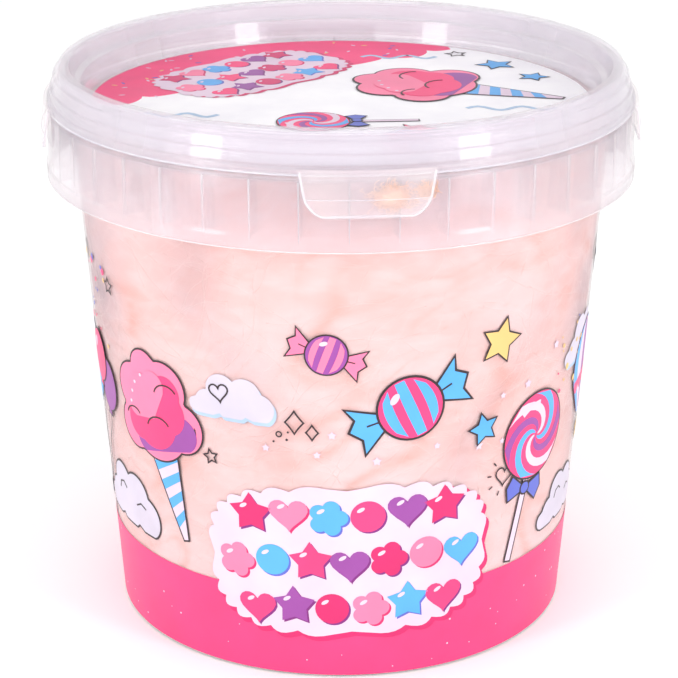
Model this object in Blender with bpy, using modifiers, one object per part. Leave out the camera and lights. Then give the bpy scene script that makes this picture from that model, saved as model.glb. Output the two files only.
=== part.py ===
"""Shut round plastic tub of cotton candy: tub, press-on lid with pull tabs, and the candy inside.

Metres, +Z up.  The origin is the middle of the underside of the foot ring, and the tub's axis is +Z.
Azimuths are in degrees, 0 towards -Y (the front), growing towards +X.
"""
import math

import bmesh
import bpy

MM = 0.001

# Driving dimensions, in millimetres
WALL = 0.9                      # tub wall, floor and collar
BASE_R = 52.4                   # outside of the wall, carried down to the table
COLLAR_LOW_Z = 103.9            # lower edge of the collar
WALL_R_AT_COLLAR = 59.9         # outside of the wall at that height
FLANGE_Z = 119.6                # top of the ledge that joins wall and collar
RIM_Z = 127.3                   # top of the tub's own rim, hidden in the lid
RIM_R_IN = 61.8
RIM_R_OUT = 62.8
COLLAR_R_TOP = 66.0
COLLAR_R_LOW = 66.5
COLLAR_BEAD_R = 66.7            # faint bead near the lower edge
COLLAR_BEAD_Z = 106.6
FOOT_HEIGHT = 1.4               # the floor stands this much above the foot ring
FOOT_R_OUT = 50.9
FOOT_R_IN = 48.6

RIB_COUNT = 40                  # stiffening ribs between wall and collar
RIB_PHASE = 1.5                 # azimuth of the first rib
RIB_THICK = 0.6
RIB_LOW_Z = 106.0

LID_THICK = 0.7
LID_TOP_Z = 128.8
LID_RIM_R_IN = 60.7
LID_RIM_R_OUT = 63.5
LID_STEP_Z = 125.2              # small ledge inside the lid's rim
LID_PANEL_R = 56.7
LID_PANEL_Z = 119.3
LID_EDGE_R = 66.0
LID_EDGE_Z = 120.0

TAB_AZIMUTHS = (4.7, 90.0, 184.7, 274.7)    # middles of the pull tabs that hang from the lid's edge
TAB_TOP_WIDTH = 28.6
TAB_LOW_WIDTH = 25.0
TAB_CORNER_R = 4.5
TAB_TOP_Z = 121.3
TAB_LOW_Z = 111.6
TAB_THICK = 0.8
TAB_R_TOP = 66.9                # outside of a tab at its top and at its lower edge
TAB_R_LOW = 68.0

CANDY_GAP = 0.3
CANDY_SEGMENTS = 24
CANDY_RINGS = 6
CANDY_CAP_INSET = 0.4           # width of the ring inside each cap, as a share of the radius
CANDY_EDGE_R = 9.0              # height over which the top and bottom edges are rounded
CANDY_EDGE_INSET = 2.2          # how far the rounding draws those edges in

TURN_STEPS = 64                 # facets round every turned piece

# Soft folds in the candy: azimuth, height, lean (degrees per mm), half width (degrees), depth (mm)
CANDY_FOLDS = (
    (-76.0, 82.0, 0.10, 21.0, 3.2),
    (-28.0, 88.0, -0.35, 10.0, 1.0),
    (22.0, 44.0, 0.70, 9.0, 1.0),
    (80.0, 78.0, -0.10, 18.0, 3.0),
    (124.0, 58.0, 0.45, 12.0, 2.4),
    (160.0, 86.0, -0.50, 12.0, 2.4),
    (-150.0, 40.0, 0.40, 11.0, 2.6),
    (-122.0, 66.0, -0.45, 12.0, 2.4),
)
FOLD_HALF_HEIGHT = 46.0         # how far a fold reaches above and below its middle, in mm


def wall_radius(z):
    """Outside radius of the straight tapered wall at height z."""
    return BASE_R + (WALL_R_AT_COLLAR - BASE_R) * z / COLLAR_LOW_Z


def direction(azimuth):
    """Unit vector, in plan, that points out at an azimuth."""
    angle = math.radians(azimuth)
    return math.sin(angle), -math.cos(angle)


def clear_scene():
    for obj in list(bpy.data.objects):
        bpy.data.objects.remove(obj, do_unlink=True)


def new_collection(name):
    collection = bpy.data.collections.new(name)
    bpy.context.scene.collection.children.link(collection)
    return collection


def plastic(name, color, roughness, transmission):
    material = bpy.data.materials.new(name)
    material.use_nodes = True
    shader = material.node_tree.nodes["Principled BSDF"]
    shader.inputs["Base Color"].default_value = (*color, 1.0)
    shader.inputs["Roughness"].default_value = roughness
    shader.inputs["Metallic"].default_value = 0.0
    shader.inputs["Transmission Weight"].default_value = transmission
    return material


def add_object(name, mesh, collection, material=None):
    obj = bpy.data.objects.new(name, mesh)
    collection.objects.link(obj)
    if material is not None:
        mesh.materials.append(material)
    return obj


def mark_as_cutter(obj):
    obj.hide_render = True
    obj.display_type = "WIRE"


def turned(name, profile, collection, material=None, closed=False):
    """Turn a profile of (radius, height) points, in mm, about the Z axis."""
    mesh = bpy.data.meshes.new(name)
    points = [(radius * MM, 0.0, height * MM) for radius, height in profile]
    edges = [(i, i + 1) for i in range(len(points) - 1)]
    if closed:
        edges.append((len(points) - 1, 0))
    mesh.from_pydata(points, edges, [])
    obj = add_object(name, mesh, collection, material)
    screw = obj.modifiers.new("Turn", "SCREW")
    screw.steps = TURN_STEPS
    screw.render_steps = TURN_STEPS
    screw.use_merge_vertices = True
    screw.merge_threshold = 0.00001
    screw.use_smooth_shade = True
    return obj


def combine(target, operation, other, name):
    boolean = target.modifiers.new(name, "BOOLEAN")
    boolean.operation = operation
    boolean.solver = "EXACT"
    boolean.object = other
    return boolean


def tub_profile():
    """From the middle of the floor up the inside, over the rim, down the collar, back up and down."""
    floor_top = FOOT_HEIGHT + WALL
    step_z = FLANGE_Z - 1.6
    return [
        (0.0, floor_top),
        (BASE_R - WALL - 2.0, floor_top),
        (BASE_R - WALL, floor_top + 1.6),
        (wall_radius(step_z) - WALL, step_z),
        (RIM_R_IN, FLANGE_Z - 0.2),
        (RIM_R_IN, RIM_Z - 0.4),
        (RIM_R_IN + 0.3, RIM_Z),
        (RIM_R_OUT - 0.2, RIM_Z),
        (RIM_R_OUT, RIM_Z - 0.4),
        (RIM_R_OUT, FLANGE_Z),
        (COLLAR_R_TOP - 0.8, FLANGE_Z),
        (COLLAR_R_TOP, FLANGE_Z - 0.7),
        (COLLAR_R_LOW - 0.15, COLLAR_BEAD_Z + 0.7),
        (COLLAR_BEAD_R, COLLAR_BEAD_Z),
        (COLLAR_R_LOW, COLLAR_LOW_Z),
        (COLLAR_R_LOW - WALL, COLLAR_LOW_Z),
        (COLLAR_R_TOP - WALL, FLANGE_Z - 1.0),
        (wall_radius(FLANGE_Z - 1.0), FLANGE_Z - 1.0),
        (wall_radius(1.4), 1.4),
        (BASE_R - 0.5, 0.4),
        (FOOT_R_OUT, 0.0),
        (FOOT_R_IN, 0.0),
        (FOOT_R_IN - 0.8, FOOT_HEIGHT),
        (0.0, FOOT_HEIGHT),
    ]


def rib_fan(collection):
    """All the ribs as one cutter-side mesh: slanted boxes that end inside the wall and the collar."""
    mesh = bpy.data.meshes.new("rib_fan")
    bm = bmesh.new()
    high_z = FLANGE_Z - 0.5
    outer_r = COLLAR_R_TOP - WALL / 2
    for number in range(RIB_COUNT):
        out_x, out_y = direction(RIB_PHASE + number * 360.0 / RIB_COUNT)
        box = bmesh.ops.create_cube(bm, size=1.0)["verts"]
        for vert in box:
            z = high_z if vert.co.z > 0 else RIB_LOW_Z
            radius = outer_r if vert.co.x > 0 else wall_radius(z) - WALL / 2
            side = RIB_THICK / 2 if vert.co.y > 0 else -RIB_THICK / 2
            vert.co = (
                (radius * out_x - side * out_y) * MM,
                (radius * out_y + side * out_x) * MM,
                z * MM,
            )
    bm.to_mesh(mesh)
    bm.free()
    fan = add_object("rib_fan", mesh, collection)
    mark_as_cutter(fan)
    return fan


def build_tub(parts, cutters):
    material = plastic("tub_clear_plastic", (0.90, 0.86, 0.90), 0.25, 0.85)
    tub = turned("tub", tub_profile(), parts, material)
    combine(tub, "UNION", rib_fan(cutters), "Ribs")
    return tub


def lid_profile():
    """From the middle of the recessed panel out over the rim, down the skirt and back underneath."""
    under = LID_THICK
    return [
        (0.0, LID_PANEL_Z),
        (LID_PANEL_R, LID_PANEL_Z),
        (LID_PANEL_R + 0.7, LID_PANEL_Z + 0.5),
        (LID_PANEL_R + 1.6, LID_STEP_Z - 0.4),
        (LID_RIM_R_IN - 0.8, LID_STEP_Z),
        (LID_RIM_R_IN - 0.2, LID_TOP_Z - 0.9),
        (LID_RIM_R_IN + 0.5, LID_TOP_Z - 0.15),
        (LID_RIM_R_IN + 1.4, LID_TOP_Z),
        (LID_RIM_R_OUT - 0.5, LID_TOP_Z - 0.15),
        (LID_RIM_R_OUT + 0.1, LID_TOP_Z - 0.8),
        (LID_RIM_R_OUT + 0.8, LID_TOP_Z - 3.1),
        (LID_RIM_R_OUT + 1.2, LID_TOP_Z - 4.4),
        (LID_EDGE_R - 0.6, LID_EDGE_Z + 2.1),
        (LID_EDGE_R, LID_EDGE_Z + 1.4),
        (LID_EDGE_R, LID_EDGE_Z),
        (LID_EDGE_R - 0.8, LID_EDGE_Z),
        (LID_EDGE_R - 1.4, LID_EDGE_Z + 2.0),
        (RIM_R_OUT + 0.5, LID_TOP_Z - 1.9),
        (RIM_R_OUT + 0.1, LID_TOP_Z - 1.0),
        (RIM_R_IN + 0.2, LID_TOP_Z - 0.85),
        (RIM_R_IN - 0.5, LID_TOP_Z - 1.4),
        (LID_RIM_R_IN - 0.1, LID_STEP_Z - under + 0.1),
        (LID_PANEL_R + 2.1, LID_STEP_Z - 0.4 - under),
        (LID_PANEL_R + 1.2, LID_PANEL_Z - 0.1),
        (LID_PANEL_R + 0.5, LID_PANEL_Z - under),
        (0.0, LID_PANEL_Z - under),
    ]


def tab_ring(collection):
    """A full ring with a tab's cross-section: it flares a little and joins the lid's edge at the top."""
    mid_z = (TAB_TOP_Z + TAB_LOW_Z) / 2
    mid_r = (TAB_R_TOP + TAB_R_LOW) / 2 + 0.1
    profile = [
        (LID_EDGE_R - 0.4, TAB_TOP_Z),
        (TAB_R_TOP - 0.3, TAB_TOP_Z),
        (TAB_R_TOP, TAB_TOP_Z - 0.5),
        (mid_r, mid_z),
        (TAB_R_LOW, TAB_LOW_Z - 1.0),
        (TAB_R_LOW - TAB_THICK, TAB_LOW_Z - 1.0),
        (mid_r - TAB_THICK, mid_z),
        (TAB_R_TOP - TAB_THICK + 0.35, FLANGE_Z - 0.4),
        (TAB_R_TOP - TAB_THICK + 0.2, LID_EDGE_Z + 0.3),
        (LID_EDGE_R - 0.4, LID_EDGE_Z + 0.3),
    ]
    ring = turned("tab_ring", profile, collection, closed=True)
    mark_as_cutter(ring)
    return ring


def tab_outline():
    """Outline of one tab, seen from outside, as (sideways, height) points with round lower corners."""
    half_top = TAB_TOP_WIDTH / 2
    half_low = TAB_LOW_WIDTH / 2
    corner_x = half_low - TAB_CORNER_R
    corner_z = TAB_LOW_Z + TAB_CORNER_R
    points = [(half_top, TAB_TOP_Z + 1.0)]
    for step in range(5):
        angle = math.radians(-90.0 * step / 4)
        x = corner_x + TAB_CORNER_R * math.cos(angle)
        z = corner_z + TAB_CORNER_R * math.sin(angle)
        points.append((x, z))
    return points + [(-x, z) for x, z in reversed(points)]


def tab_windows(collection):
    """Prisms that keep the four tabs out of the ring."""
    mesh = bpy.data.meshes.new("tab_windows")
    bm = bmesh.new()
    near_r = LID_EDGE_R - 3.0
    depth = 6.0
    for azimuth in TAB_AZIMUTHS:
        out_x, out_y = direction(azimuth)
        corners = []
        for side, z in tab_outline():
            x = near_r * out_x - side * out_y
            y = near_r * out_y + side * out_x
            corners.append(bm.verts.new((x * MM, y * MM, z * MM)))
        face = bm.faces.new(corners)
        moved = bmesh.ops.extrude_face_region(bm, geom=[face])["geom"]
        shift = (depth * out_x * MM, depth * out_y * MM, 0.0)
        bmesh.ops.translate(bm, vec=shift, verts=[v for v in moved if isinstance(v, bmesh.types.BMVert)])
    bmesh.ops.recalc_face_normals(bm, faces=bm.faces)
    bm.to_mesh(mesh)
    bm.free()
    windows = add_object("tab_windows", mesh, collection)
    mark_as_cutter(windows)
    return windows


def build_lid(parts, cutters):
    material = plastic("lid_clear_plastic", (0.90, 0.87, 0.93), 0.22, 0.80)
    lid = turned("lid", lid_profile(), parts, material)
    ring = tab_ring(cutters)
    combine(ring, "INTERSECT", tab_windows(cutters), "Keep four tabs")
    combine(lid, "UNION", ring, "Tabs")
    return lid


def fold_depth(azimuth, z):
    """How far the candy draws in from the wall here, in mm."""
    depth = 0.0
    for fold_azimuth, fold_z, lean, half_width, deepest in CANDY_FOLDS:
        middle = fold_azimuth + lean * (z - fold_z)
        across = (azimuth - middle + 180.0) % 360.0 - 180.0
        along = (z - fold_z) / FOLD_HALF_HEIGHT
        depth += deepest * math.exp(-((across / half_width) ** 2) - along ** 2)
    return depth


def build_candy(parts):
    """A soft plug of spun sugar that fills the tub: a coarse folded cage under Subdivision Surface."""
    low_z = FOOT_HEIGHT + WALL + CANDY_GAP
    high_z = LID_PANEL_Z - LID_THICK - CANDY_GAP
    mesh = bpy.data.meshes.new("candy")
    bm = bmesh.new()
    bmesh.ops.create_cone(
        bm, cap_ends=True, cap_tris=False, segments=CANDY_SEGMENTS,
        radius1=1.0, radius2=1.0, depth=1.0,
    )
    sides = [e for e in bm.edges if abs(e.verts[0].co.z - e.verts[1].co.z) > 0.5]
    bmesh.ops.subdivide_edges(bm, edges=sides, cuts=CANDY_RINGS, use_grid_fill=True)
    for cap in [f for f in bm.faces if abs(f.normal.z) > 0.9]:
        bmesh.ops.inset_region(bm, faces=[cap], thickness=CANDY_CAP_INSET)
    for vert in bm.verts:
        share = vert.co.z + 0.5
        z = low_z + share * (high_z - low_z)
        azimuth = math.degrees(math.atan2(vert.co.x, -vert.co.y))
        reach = math.hypot(vert.co.x, vert.co.y)
        edge = min(z - low_z, high_z - z)
        rounding = CANDY_EDGE_INSET * max(0.0, 1.0 - edge / CANDY_EDGE_R) ** 2
        radius = wall_radius(z) - WALL - CANDY_GAP - rounding - fold_depth(azimuth, z)
        vert.co = (
            math.sin(math.radians(azimuth)) * reach * radius * MM,
            -math.cos(math.radians(azimuth)) * reach * radius * MM,
            z * MM,
        )
    bm.to_mesh(mesh)
    bm.free()
    material = plastic("candy_pink_floss", (0.95, 0.70, 0.68), 0.9, 0.0)
    candy = add_object("candy", mesh, parts, material)
    soften = candy.modifiers.new("Soften", "SUBSURF")
    soften.levels = 1
    soften.render_levels = 1
    candy.data.shade_smooth()
    return candy


def main():
    clear_scene()
    parts = new_collection("cotton_candy_tub")
    cutters = new_collection("cutters")
    build_tub(parts, cutters)
    build_lid(parts, cutters)
    build_candy(parts)


main()
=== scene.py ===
# %% [markdown]
# # A tub of cotton candy
#
# The real pack is a thin-walled bucket of milky polypropylene with a press-on lid, filled to the
# brim with pale pink spun sugar. A cheerful sweet-shop print is moulded into the wall and the lid.
#
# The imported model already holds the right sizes. This lesson keeps them and swaps each plain solid
# for a finer mesh: rounded edges, a soft folded filling, thin films of ink, and a material for each.
# Everything is made by small functions, so that a number can be changed and the tub made again.

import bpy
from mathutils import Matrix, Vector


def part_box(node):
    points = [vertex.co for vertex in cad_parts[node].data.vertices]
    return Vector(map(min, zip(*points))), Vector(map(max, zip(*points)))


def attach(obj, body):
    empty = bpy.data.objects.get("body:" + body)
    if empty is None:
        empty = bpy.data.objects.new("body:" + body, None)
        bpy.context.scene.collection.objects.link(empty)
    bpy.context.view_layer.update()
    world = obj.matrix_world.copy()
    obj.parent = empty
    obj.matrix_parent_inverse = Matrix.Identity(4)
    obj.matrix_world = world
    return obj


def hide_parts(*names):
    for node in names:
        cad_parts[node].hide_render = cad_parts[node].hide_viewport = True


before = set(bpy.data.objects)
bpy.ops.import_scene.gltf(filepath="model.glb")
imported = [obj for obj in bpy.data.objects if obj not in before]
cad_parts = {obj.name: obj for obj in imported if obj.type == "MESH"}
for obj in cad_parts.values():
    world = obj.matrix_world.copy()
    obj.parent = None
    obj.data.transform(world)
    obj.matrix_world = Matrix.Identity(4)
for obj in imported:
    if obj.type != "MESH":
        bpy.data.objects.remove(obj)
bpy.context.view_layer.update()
print("packed nodes:", sorted(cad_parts))

# %% [markdown]
# ## Tools and units
#
# Blender's own modules do the work: `bmesh` builds meshes, `noise` gives smooth random values that
# are the same in every run, and `delaunay_2d_cdt` turns a flat outline into triangles.
# Shapes are thought out in millimetres, because that is how a tub is drawn, and scaled to metres
# only when a mesh is written.

# %% Modules and units
import math
import random

import bmesh
import bpy
from mathutils import Vector, noise
from mathutils.geometry import delaunay_2d_cdt

MM = 0.001
FULL_TURN = 360.0
print("one millimetre is", MM, "units")

# %% [markdown]
# ## The tub's measures
#
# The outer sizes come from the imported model's boxes. The wall, the collar and the lid's rim are the
# thicknesses and steps of such a moulded tub, the same as in the solids that the pieces replace.
# An azimuth is an angle seen from above: 0 is the front, and it grows to the viewer's right.

# %% Measures, in millimetres
TUB_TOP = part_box("tub")[1].z / MM
BEAD_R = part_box("tub")[1].x / MM
LID_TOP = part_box("lid")[1].z / MM
CANDY_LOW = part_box("candy")[0].z / MM
CANDY_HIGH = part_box("candy")[1].z / MM

WALL = 0.9
BASE_R = 52.4
WALL_R_AT_COLLAR = 59.9
COLLAR_LOW = 103.9
COLLAR_LIP_R = 66.5
FLANGE = 119.6
FOOT_HEIGHT = 1.4
PANEL_R = 56.7
PANEL_Z = 119.3
LID_EDGE_R = 66.0
LID_EDGE_Z = 119.75
LID_THICK = 0.7


def wall_radius(z):
    """Outside radius of the tapered wall, carried on above and below the collar's edge."""
    return BASE_R + (WALL_R_AT_COLLAR - BASE_R) * z / COLLAR_LOW


def around(azimuth, radius, z):
    """The point at an azimuth, a radius and a height."""
    angle = math.radians(azimuth)
    return Vector((radius * math.sin(angle), -radius * math.cos(angle), z))


print(f"tub {TUB_TOP:.1f} mm high, {2 * BEAD_R:.1f} mm over the collar, lid top at {LID_TOP:.1f} mm")

# %% [markdown]
# ## Camera and light
#
# Pack shots of clear tubs are taken in a white tent, with two tall soft lamps near the front. The
# tent is the plain white world, and the lamps are two upright area lights: they give the pair of
# bright bars on the lid's rim. A third, wide and weak one fills the front. A long lens looks down on
# the tub by about twenty degrees.

# %% Camera
LENS = 120.0
CAMERA_BACK = 0.4981
CAMERA_UP = 0.2465
CAMERA_TILT = 20.43
FRAMING_SHIFT = -0.0028

camera_data = bpy.data.cameras.new("camera")
camera_data.lens = LENS
camera_data.shift_x = FRAMING_SHIFT
camera = bpy.data.objects.new("camera", camera_data)
camera.location = (0.0, -CAMERA_BACK, CAMERA_UP)
camera.rotation_euler = (math.radians(90.0 - CAMERA_TILT), 0.0, 0.0)
bpy.context.scene.collection.objects.link(camera)
bpy.context.scene.camera = camera
print("camera looks down by", CAMERA_TILT, "degrees")


# %% Light
def soft_lamp(name, place, target, width, height, power):
    """A rectangular area light that faces a target."""
    data = bpy.data.lights.new(name, "AREA")
    data.shape = "RECTANGLE"
    data.size = width
    data.size_y = height
    data.energy = power
    lamp = bpy.data.objects.new(name, data)
    lamp.location = place
    lamp.rotation_euler = (Vector(target) - Vector(place)).to_track_quat("-Z", "Y").to_euler()
    bpy.context.scene.collection.objects.link(lamp)
    return lamp


LID_MIDDLE = (0.0, 0.0, 0.12)
for side in (-1, 1):
    soft_lamp(f"bar_lamp_{side}", (side * 0.361, -0.320, 0.20), LID_MIDDLE, 0.10, 0.26, 0.9)
soft_lamp("front_lamp", (0.0, -1.5, 0.9), (0.0, 0.0, 0.06), 1.2, 0.8, 1.4)

world = bpy.data.worlds.new("tent")
world.use_nodes = True
world.node_tree.nodes["Background"].inputs["Color"].default_value = (1.0, 1.0, 1.0, 1.0)
world.node_tree.nodes["Background"].inputs["Strength"].default_value = 0.92
bpy.context.scene.world = world
bpy.context.scene.view_settings.view_transform = "Standard"

# %% [markdown]
# ## Materials
#
# A short helper makes every material: it sets the plain numbers on the shader's own sockets, and
# the other helpers add the nodes of a pattern: noise, a change of tint, a bump.


# %% Material helpers
def new_material(name, color, roughness, **more):
    """A Principled material. More sockets are given by name, with _ for a space."""
    material = bpy.data.materials.new(name)
    material.use_nodes = True
    shader = material.node_tree.nodes["Principled BSDF"]
    shader.inputs["Base Color"].default_value = (*color, 1.0)
    shader.inputs["Roughness"].default_value = roughness
    for socket, value in more.items():
        shader.inputs[socket.replace("_", " ")].default_value = value
    return material


def add_node(material, kind, **settings):
    """A new node. A setting is an input socket's value, or else one of the node's own options."""
    node = material.node_tree.nodes.new(kind)
    for key, value in settings.items():
        if key in node.inputs:
            node.inputs[key].default_value = value
        else:
            setattr(node, key, value)
    return node


def link(material, output, target):
    """Join an output to an input."""
    material.node_tree.links.new(output, target)


def shader_of(material):
    """The material's main shader."""
    return material.node_tree.nodes["Principled BSDF"]


def object_noise(material, scale, detail=2.0, stretch=(1.0, 1.0, 1.0)):
    """Noise that sits still on the piece, squeezed along an axis if asked."""
    where = add_node(material, "ShaderNodeTexCoord")
    squeeze = add_node(material, "ShaderNodeMapping")
    squeeze.inputs["Scale"].default_value = stretch
    grain = add_node(material, "ShaderNodeTexNoise", Scale=scale, Detail=detail)
    link(material, where.outputs["Object"], squeeze.inputs["Vector"])
    link(material, squeeze.outputs["Vector"], grain.inputs["Vector"])
    return grain


def tint_between(material, value, low_color, high_color, low=0.3, high=0.7):
    """Drive the base colour by a value, between two colours."""
    ramp = add_node(material, "ShaderNodeValToRGB")
    ramp.color_ramp.elements[0].position = low
    ramp.color_ramp.elements[1].position = high
    ramp.color_ramp.elements[0].color = (*low_color, 1.0)
    ramp.color_ramp.elements[1].color = (*high_color, 1.0)
    link(material, value, ramp.inputs["Fac"])
    link(material, ramp.outputs["Color"], shader_of(material).inputs["Base Color"])
    return ramp


def add_bump(material, height, distance, strength=0.5):
    """Let a value tilt the surface's light a little, as fine relief does."""
    bump = add_node(material, "ShaderNodeBump", Distance=distance, Strength=strength)
    link(material, height, bump.inputs["Height"])
    link(material, bump.outputs["Normal"], shader_of(material).inputs["Normal"])
    return bump


print("material helpers ready")

# %% [markdown]
# ## The floor
#
# The floor is a plain pale sheet, and glows very faintly, as on a light table, so that it stays
# white under the tub.

# %% Floor
bpy.ops.mesh.primitive_plane_add(size=8.0, location=(0.0, 0.0, 0.0))
floor = bpy.context.object
floor.name = "floor"
floor_sheet = new_material("floor_sheet", (0.96, 0.96, 0.96), 0.9, Emission_Strength=0.1)
shader_of(floor_sheet).inputs["Emission Color"].default_value = (1.0, 1.0, 1.0, 1.0)
floor.data.materials.append(floor_sheet)
print("floor:", tuple(floor.dimensions))

# %% [markdown]
# ## Milky plastic
#
# Milky polypropylene lets most light through and scatters the rest: a rough, slightly lavender
# glass. Its wall isn't quite even, so a very faint, slow bump bends the highlights as on real
# mouldings. The number for transmission stays plain, so that it survives an export. The collar is a
# second wall in front of the first. Its copy of the same plastic is a little milkier and a greyer
# lavender, which is painted shade that dims the collar.


# %% Milky plastic
def milky_plastic(name, color, roughness, clear, gloss, ripple):
    """A see-through plastic: how clear it is, its gloss, and the depth of its slow ripple."""
    material = new_material(
        name, color, roughness, IOR=1.49, Transmission_Weight=clear, Alpha=0.5, Specular_IOR_Level=gloss
    )
    slow = object_noise(material, 55.0, 2.0, stretch=(1.0, 1.0, 0.45))
    add_bump(material, slow.outputs["Fac"], ripple, 0.35)
    return material


tub_plastic = milky_plastic("tub_plastic", (0.99, 0.95, 0.98), 0.12, 0.82, 0.35, 0.00025)
# The collar's greyer lavender tint is painted shade on the same plastic.
collar_plastic_shaded = milky_plastic("collar_plastic_shaded", (0.95, 0.895, 0.965), 0.12, 0.74, 0.35, 0.00025)
lid_plastic = milky_plastic("lid_plastic", (0.94, 0.89, 0.97), 0.09, 0.6, 0.5, 0.0001)
print("plastics:", tub_plastic.name, collar_plastic_shaded.name, lid_plastic.name)


# %% [markdown]
# ## Turned shells
#
# A tub and a lid are turned shapes, so each is a profile with a Screw modifier. The profile is a
# chain of corners with a fillet each: `rounded` draws the small arcs, which is where moulded plastic
# catches the light. `settle` turns the modifiers into a plain mesh and lets it ride on the body.


# %% Profiles and turning
TURN_STEPS = 180


def rounded(corners, steps=4):
    """Round a chain of (radius, height, fillet) corners with small arcs."""
    path = [Vector(corners[0][:2])]
    for before, (radius, z, fillet), after in zip(corners, corners[1:], corners[2:]):
        here = Vector((radius, z))
        back = Vector(before[:2]) - here
        ahead = Vector(after[:2]) - here
        reach = min(fillet / math.tan(back.angle(ahead) / 2), 0.48 * back.length, 0.48 * ahead.length)
        if fillet == 0 or reach < 0.01:
            path.append(here)
            continue
        start = here + back.normalized() * reach
        end = here + ahead.normalized() * reach
        for step in range(steps + 1):
            t = step / steps
            path.append((1 - t) ** 2 * start + 2 * t * (1 - t) * here + t * t * end)
    path.append(Vector(corners[-1][:2]))
    return path


def new_object(name, mesh):
    """Put a mesh into the scene."""
    obj = bpy.data.objects.new(name, mesh)
    bpy.context.scene.collection.objects.link(obj)
    return obj


def finished(bm, name):
    """Turn a finished bmesh into an object."""
    mesh = bpy.data.meshes.new(name)
    bm.to_mesh(mesh)
    bm.free()
    return new_object(name, mesh)


def turned(name, corners):
    """Turn a rounded profile about the tub's axis."""
    path = rounded(corners)
    mesh = bpy.data.meshes.new(name)
    edges = [(i, i + 1) for i in range(len(path) - 1)]
    mesh.from_pydata([(r * MM, 0.0, z * MM) for r, z in path], edges, [])
    obj = new_object(name, mesh)
    screw = obj.modifiers.new("Turn", "SCREW")
    screw.steps = TURN_STEPS
    screw.render_steps = TURN_STEPS
    screw.use_merge_vertices = True
    screw.merge_threshold = 0.01 * MM
    return obj


def join_to(target, other):
    """Unite a second closed mesh with the first, by a modifier."""
    union = target.modifiers.new(other.name, "BOOLEAN")
    union.operation = "UNION"
    union.solver = "EXACT"
    union.object = other


def settle(obj, material, sharp=38.0, helpers=()):
    """Make the modifiers' result the mesh itself, shade it, colour it, and let it ride."""
    graph = bpy.context.evaluated_depsgraph_get()
    mesh = bpy.data.meshes.new_from_object(obj.evaluated_get(graph))
    obj.modifiers.clear()
    obj.data = mesh
    mesh.name = obj.name
    mesh.shade_smooth()
    mesh.set_sharp_from_angle(angle=math.radians(sharp))
    mesh.materials.clear()
    mesh.materials.append(material)
    for helper in helpers:
        bpy.data.objects.remove(helper, do_unlink=True)
    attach(obj, "root")
    return obj


print("profile tools ready")

# %% [markdown]
# ## The tub
#
# One profile runs from the middle of the floor up the inside, over the rim that the lid grips, out
# to the collar and down, and back under it to the outer wall and the foot ring. Between wall and
# collar stand forty thin ribs, which stop the collar from flexing. They are upright plates, kept as
# a piece of their own with a faint pale film for a material, because a ray through glassy ribs gets
# lost and goes dark. What shows of the real ones is their bright outer edges: the next step.

# %% Tub shell
TUB_CORNERS = [
    (0.0, FOOT_HEIGHT + WALL, 0.0),
    (BASE_R - WALL, FOOT_HEIGHT + WALL, 2.2),
    (wall_radius(118.0) - WALL, 118.0, 1.0),
    (61.8, FLANGE - 0.2, 0.5),
    (61.8, TUB_TOP, 0.45),
    (62.8, TUB_TOP, 0.45),
    (62.8, FLANGE, 0.5),
    (66.0, FLANGE, 0.9),
    (66.35, 107.4, 0.6),
    (BEAD_R, 106.6, 0.6),
    (COLLAR_LIP_R, COLLAR_LOW, 0.35),
    (65.6, COLLAR_LOW, 0.3),
    (65.1, FLANGE - 1.0, 0.6),
    (wall_radius(FLANGE - 1.0), FLANGE - 1.0, 0.8),
    (wall_radius(0.0), 0.0, 1.6),
    (48.6, 0.0, 0.5),
    (47.8, FOOT_HEIGHT, 0.7),
    (0.0, FOOT_HEIGHT, 0.0),
]
RIB_COUNT = 40
RIB_PHASE = 1.5
RIB_THICK = 0.5
RIB_OUT_R = 65.2
RIB_LOW = 106.0
COLLAR_FROM_R = 63.5


def upright_bars(name, corner):
    """A bar at each rib. `corner` gives the radius, half width and height of a bar's corner."""
    bm = bmesh.new()
    for number in range(RIB_COUNT):
        out = around(RIB_PHASE + number * FULL_TURN / RIB_COUNT, 1.0, 0.0)
        side = Vector((-out.y, out.x, 0.0))
        for vert in bmesh.ops.create_cube(bm, size=1.0)["verts"]:
            radius, half, z = corner(vert.co.z > 0, vert.co.x > 0)
            vert.co = (out * radius + side * math.copysign(half, vert.co.y) + Vector((0.0, 0.0, z))) * MM
    return finished(bm, name)


def rib_corner(upper, outer):
    """A rib is a plate from the wall to the collar, thinner towards its foot."""
    z = FLANGE - 0.9 if upper else RIB_LOW
    radius = RIB_OUT_R + 0.1 if outer else wall_radius(z) - 0.1
    return radius, RIB_THICK / (2 if upper else 4), z


tub = settle(turned("tub_shell", TUB_CORNERS), tub_plastic)
tub.data.materials.append(collar_plastic_shaded)
for face in tub.data.polygons:
    if math.hypot(face.center.x, face.center.y) > COLLAR_FROM_R * MM:
        face.material_index = 1
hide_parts("tub")

rib_film = new_material("rib_film", (0.90, 0.84, 0.90), 0.4, Alpha=0.07)
rib_cloud = object_noise(rib_film, 120.0)
tint_between(rib_film, rib_cloud.outputs["Fac"], (0.84, 0.76, 0.86), (0.92, 0.86, 0.92))
ribs = settle(upright_bars("collar_ribs", rib_corner), rib_film)
print("tub shell:", len(tub.data.polygons), "faces, ribs:", RIB_COUNT)

# %% [markdown]
# ### Bright edges
#
# A thin clear plate gathers light and lets it out at its edges, so the edges of such a tub are
# drawn in fine bright lines: the ribs' outer edges, the collar's lip, the lid's edge and the beads
# of the pull tabs. A ray has too few bounces to find that light, so these bright lines are painted
# highlights: fine pale pieces of their own, a tapered spike on each rib, and round rings.


# %% Bright edges
SPIKE_HALF_TOP = 0.2
SPIKE_HALF_LOW = 0.05
LIP_HIGHLIGHT_THICK = 0.14
RING_CORNERS = 8


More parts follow.
